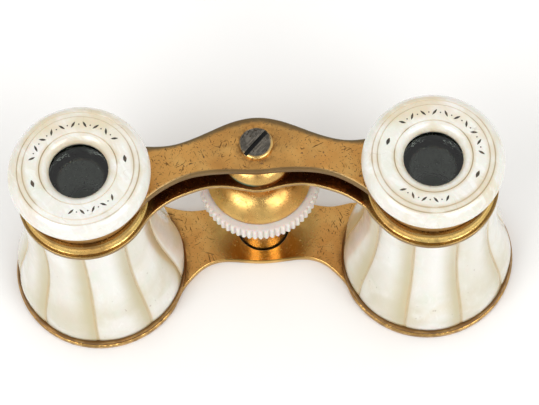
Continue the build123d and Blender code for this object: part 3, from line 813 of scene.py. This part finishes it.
def pearl_barrel(side):
    """One barrel's staves, each a curved slat with its outer edges rounded over."""
    points = []
    faces = []
    to_seam = []
    across = []
    tone = []
    half_step = math.pi / STAVES
    shares = [*(-share for share in reversed(HALF_SHARES)), 0, *HALF_SHARES]
    heights = stave_rows()
    for stave in range(STAVES):
        heart = FIRST_SEAM[side] + (2 * stave + 1) * half_step
        rows = []
        for number, height in enumerate(heights):
            radius = barrel_radius(height)
            end_round = END_ROUND if number in (0, len(heights) - 1) else 0.0
            half = half_step - STAVE_GAP / 2 / radius
            outer = []
            inner = []
            for share in shares:
                angle = heart + share * half
                edge = max(0.0, (abs(share) - EDGE_START) / (1 - EDGE_START))
                crown = STAVE_LOBE * lobe_share(height) * (0.5 - share ** 2)
                r = radius + crown - EDGE_ROUND * edge ** 2 - end_round
                spoke = Vector((math.cos(angle), math.sin(angle), 0))
                base = Vector((BARREL_X[side], BARREL_Y, height))
                outer.append(base + spoke * r)
                inner.append(base + spoke * (radius - STAVE_THICK))
            rows.append((outer, inner))
            distances = [(1 - abs(share)) * half * radius for share in shares]
            to_seam.extend(distances + distances[::-1])
            across.extend(shares + shares[::-1])
        strip_solid(rows, points, faces)
        tone.extend([(stave * TONE_STRIDE % STAVES) / (STAVES - 1)] * (2 * len(shares) * len(heights)))
    staves = make_object(side + "_stave_cladding", points, faces, STAVE_PEARL,
                         "barrel_frame", 50)
    add_float(staves, "to_seam", to_seam)
    add_float(staves, "across", across)
    add_float(staves, "tone", tone)
    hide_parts(side + "_pearl_staves")


CEMENT_HALF = 0.49              # half the joint's width, less a hair's breadth


def cement_joints(side):
    """The strips of cement that fill the joints between the staves."""
    points = []
    faces = []
    for seam in range(STAVES):
        angle = FIRST_SEAM[side] + seam * 2 * math.pi / STAVES
        spoke = Vector((math.cos(angle), math.sin(angle), 0))
        along = Vector((-spoke.y, spoke.x, 0)) * (STAVE_GAP * CEMENT_HALF)
        rows = []
        for height in stave_rows():
            radius = barrel_radius(height)
            base = Vector((BARREL_X[side], BARREL_Y, height))
            face = base + spoke * (radius - STAVE_LOBE * lobe_share(height) / 2 - EDGE_ROUND)
            root = base + spoke * (radius - STAVE_THICK)
            rows.append(([face - along, face + along], [root - along, root + along]))
        strip_solid(rows, points, faces)
    make_object(side + "_stave_cement", points, faces, CEMENT, "barrel_frame")


for side in SIDES:
    pearl_barrel(side)
    cement_joints(side)


# ---- knurled ring and lead screw -----------------------------------------------------------------

KNURL_TEETH = 64
TOOTH_DEPTH = 0.45
TOOTH_STEPS = 12
RIM_WIDTH = 0.75
RIM_CORNER = ((0.3, 0.0, 0.75), (0.1, 0.12, 1), (0.0, 0.35, 1))     # inset, rise, share of a tooth


def knurled_ring():
    """The focus wheel's ring, with rounded teeth that die away at its two faces."""
    node = "focus_wheel_knurl"
    bottom = low(node).z
    top = high(node).z
    outer = (high(node).x - low(node).x) / 2
    bore = (high("focus_sleeve").x - low("focus_sleeve").x) / 2
    flat = outer - RIM_WIDTH

    def toothed(radius, height, share, angle):
        return radius - share * TOOTH_DEPTH * (1 - abs(math.cos(KNURL_TEETH / 2 * angle)))

    lower_corner = [(outer - inset, bottom + rise, share) for inset, rise, share in RIM_CORNER]
    upper_corner = [(outer - inset, top - rise, share) for inset, rise, share in RIM_CORNER]
    outline = [(bore, bottom, 0), (flat, bottom, 0), *lower_corner,
               *reversed(upper_corner), (flat, top, 0), (bore, top, 0)]
    points, faces = spun_solid(outline, KNURL_TEETH * TOOTH_STEPS, toothed, 0, FOCUS_Y)
    ring = make_object("knurled_ring", points, faces, KNURL_PEARL, "focus_wheel", 40)
    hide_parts(node)


THREAD_LEAD = 8.0
THREAD_STARTS = 4
THREAD_DEPTH = 0.32
THREAD_FLANK = (0.3, 0.7)       # shares of the way from crest to root where the flank starts and ends
THREAD_ROWS = 150
THREAD_STEPS = 72
SCREW_CORE = 1.4


def lead_screw():
    """The screw that lifts the top bridge: four threads side by side, each of a long lead."""
    node = "lead_screw_rod"
    bottom = low(node).z
    top = high(node).z
    crest = (high(node).x - low(node).x) / 2
    start, end = THREAD_FLANK

    def threaded(radius, height, share, angle):
        turn = (height / THREAD_LEAD + angle / (2 * math.pi)) * THREAD_STARTS
        flank = abs((turn % 1) - 0.5) * 2
        return radius - share * THREAD_DEPTH * min(1.0, max(0.0, (flank - start) / (end - start)))

    outline = [(SCREW_CORE, bottom, 0)]
    for row in range(THREAD_ROWS + 1):
        height = bottom + (top - bottom) * row / THREAD_ROWS
        outline.append((crest, height, 1))
    outline.append((SCREW_CORE, top, 0))
    points, faces = spun_solid(outline, THREAD_STEPS, threaded, 0, FOCUS_Y)
    screw = make_object("lead_screw_thread", points, faces, SCREW_BRASS,
                        "eyepiece_carriage", 40)
    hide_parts(node)


knurled_ring()
lead_screw()


# ---- engraved ornament of the eyecups ------------------------------------------------------------

FACE_INNER = (6.95, -0.18)      # the flat face: radius, height from the eyecup's top
FACE_OUTER = (9.7, 0.0)
ORNAMENT_R = 8.35
LEAF = (1.35, 0.4)              # length, width
LEAF_TILT = 38
LEAF_STEPS = 6
LOZENGE = (1.5, 0.62)
DOT_R = 0.13
DOT_CORNERS = 10
INLAY = (-0.03, 0.008)          # the marks' bottom and top, measured from the pearl's face


def face_height(radius):
    """Height of the eyecup's flat face at a radius."""
    slope = (FACE_OUTER[1] - FACE_INNER[1]) / (FACE_OUTER[0] - FACE_INNER[0])
    return high("left_eyecup").z + FACE_INNER[1] + slope * (radius - FACE_INNER[0])


def leaf(length, width, tilt):
    """A pointed leaf, as (tangential, radial) points, tilted from the radial direction."""
    curve = [(width / 2 * math.sin(math.pi * i / LEAF_STEPS), length * (i / LEAF_STEPS - 0.5))
             for i in range(LEAF_STEPS + 1)]
    outline = curve + [(-x, y) for x, y in reversed(curve[1:-1])]
    cosine = math.cos(math.radians(tilt))
    sine = math.sin(math.radians(tilt))
    return [(x * cosine - y * sine, x * sine + y * cosine) for x, y in outline]


def dot():
    """A small round dot, as (tangential, radial) points."""
    turns = [2 * math.pi * corner / DOT_CORNERS for corner in range(DOT_CORNERS)]
    return [(DOT_R * math.cos(turn), DOT_R * math.sin(turn)) for turn in turns]


def inlay(outline, angle, x, points, faces):
    """Add one flat mark of the ornament, a hair's breadth proud of the pearl."""
    start = len(points)
    count = len(outline)
    spoke = Vector((math.cos(angle), math.sin(angle), 0))
    along = Vector((-spoke.y, spoke.x, 0))
    for lift in INLAY:
        for tangential, radial in outline:
            radius = ORNAMENT_R + radial
            height = face_height(radius) + lift
            points.append(Vector((x, BARREL_Y, height)) + spoke * radius + along * tangential)
    upper = list(range(start + count, start + 2 * count))
    lower = list(range(start, start + count))
    faces.append(tuple(upper))
    faces.append(tuple(reversed(lower)))
    for i in range(count):
        j = (i + 1) % count
        faces.append((lower[i], lower[j], upper[j], upper[i]))


LOZENGES = {"left": (10, 199), "right": (159, 333)}
GARLANDS = {"left": ((40, 166), (262, 316)), "right": ((2, 128), (228, 284))}
GARLAND_STEP = 7


def ornament(side):
    """Two lozenges and two garlands of leaves and dots round an eyecup's face."""
    points = []
    faces = []
    x = BARREL_X[side]
    for angle in LOZENGES[side]:
        inlay(leaf(*LOZENGE, 90), math.radians(angle), x, points, faces)
    for first, last in GARLANDS[side]:
        marks = round((last - first) / GARLAND_STEP)
        for mark in range(marks + 1):
            angle = math.radians(first + mark * (last - first) / marks)
            if mark % 2 == 0:
                tilt = LEAF_TILT if mark % 4 == 0 else -LEAF_TILT
                inlay(leaf(*LEAF, tilt), angle, x, points, faces)
            else:
                inlay(dot(), angle, x, points, faces)
    make_object(side + "_eyecup_ornament", points, faces, INK, "eyepiece_carriage")


for side in SIDES:
    ornament(side)

# ---- camera --------------------------------------------------------------------------------------

AZIMUTH, ELEVATION, ROLL = (math.radians(a) for a in (2.671, 67.216, -4.419))
DISTANCE = 466.1 * MM
TARGET = Vector((1.69, BARREL_Y + 4.155, 20.0)) * MM
FOCAL_LENGTH = 168.2
SENSOR_WIDTH = 36.0
back = Vector((math.sin(AZIMUTH) * math.cos(ELEVATION),
               -math.cos(AZIMUTH) * math.cos(ELEVATION), math.sin(ELEVATION)))
right = (-back).cross(Vector((0, 0, 1))).normalized()
up = right.cross(-back)
right_rolled = right * math.cos(ROLL) + up * math.sin(ROLL)
up_rolled = up * math.cos(ROLL) - right * math.sin(ROLL)
camera_data = bpy.data.cameras.new("camera")
camera_data.lens = FOCAL_LENGTH
camera_data.sensor_width = SENSOR_WIDTH
camera_data.clip_start = 0.01
camera = bpy.data.objects.new("camera", camera_data)
turn = Matrix((right_rolled, up_rolled, back)).transposed()
camera.matrix_world = Matrix.Translation(TARGET + back * DISTANCE) @ turn.to_4x4()
scene.collection.objects.link(camera)
scene.camera = camera

# ---- lights --------------------------------------------------------------------------------------

# metres and watts
SOFTBOX_SIZE = 0.55
SOFTBOX_DISTANCE = 1.1
SOFTBOX_POWER = 4.2


def softbox(name, direction):
    """A square softbox that faces the glasses from a direction."""
    data = bpy.data.lights.new(name, "AREA")
    data.size = SOFTBOX_SIZE
    data.energy = SOFTBOX_POWER
    light = bpy.data.objects.new(name, data)
    toward = Vector(direction).normalized()
    light.location = toward * SOFTBOX_DISTANCE
    light.rotation_euler = toward.to_track_quat("Z", "Y").to_euler()
    scene.collection.objects.link(light)


softbox("softbox_left", (-0.46, -0.42, 0.78))
softbox("softbox_right", (0.46, -0.42, 0.78))

# a pale room, darker above the front, where the photographer stands
ROOM = 0.78
ROOM_COLOUR = (1.0, 0.995, 0.985, 1)
DARK_SHARE = 0.3
DARK_ZONE = (0.8, 0.985)        # cosines of the angle from the camera: the shade's outer and inner edge
world = bpy.data.worlds.new("studio")
scene.world = world
world.use_nodes = True
nodes = world.node_tree.nodes
links = world.node_tree.links
direction = nodes.new("ShaderNodeTexCoord")
toward_camera = nodes.new("ShaderNodeVectorMath")
toward_camera.operation = "DOT_PRODUCT"
toward_camera.inputs[1].default_value = back
links.new(direction.outputs["Generated"], toward_camera.inputs[0])
shade = nodes.new("ShaderNodeMapRange")
shade.interpolation_type = "SMOOTHSTEP"
shade.inputs["From Min"].default_value = DARK_ZONE[0]
shade.inputs["From Max"].default_value = DARK_ZONE[1]
shade.inputs["To Min"].default_value = ROOM
shade.inputs["To Max"].default_value = ROOM * DARK_SHARE
links.new(toward_camera.outputs["Value"], shade.inputs["Value"])
links.new(shade.outputs[0], nodes["Background"].inputs["Strength"])
nodes["Background"].inputs["Color"].default_value = ROOM_COLOUR

# ---- floor ---------------------------------------------------------------------------------------

FLOOR_HALF = 3.0                # metres
PAPER_COLOUR = (0.93, 0.925, 0.915, 1)
PAPER_ROUGHNESS = 0.9
paper = bpy.data.materials.new("paper")
paper.use_nodes = True
paper.node_tree.nodes["Principled BSDF"].inputs["Base Color"].default_value = PAPER_COLOUR
paper.node_tree.nodes["Principled BSDF"].inputs["Roughness"].default_value = PAPER_ROUGHNESS
sheet = bpy.data.meshes.new("floor")
sheet.from_pydata([(-FLOOR_HALF, -FLOOR_HALF, 0), (FLOOR_HALF, -FLOOR_HALF, 0),
                   (FLOOR_HALF, FLOOR_HALF, 0), (-FLOOR_HALF, FLOOR_HALF, 0)], [], [(0, 1, 2, 3)])
sheet.materials.append(paper)
floor = bpy.data.objects.new("floor", sheet)
scene.collection.objects.link(floor)
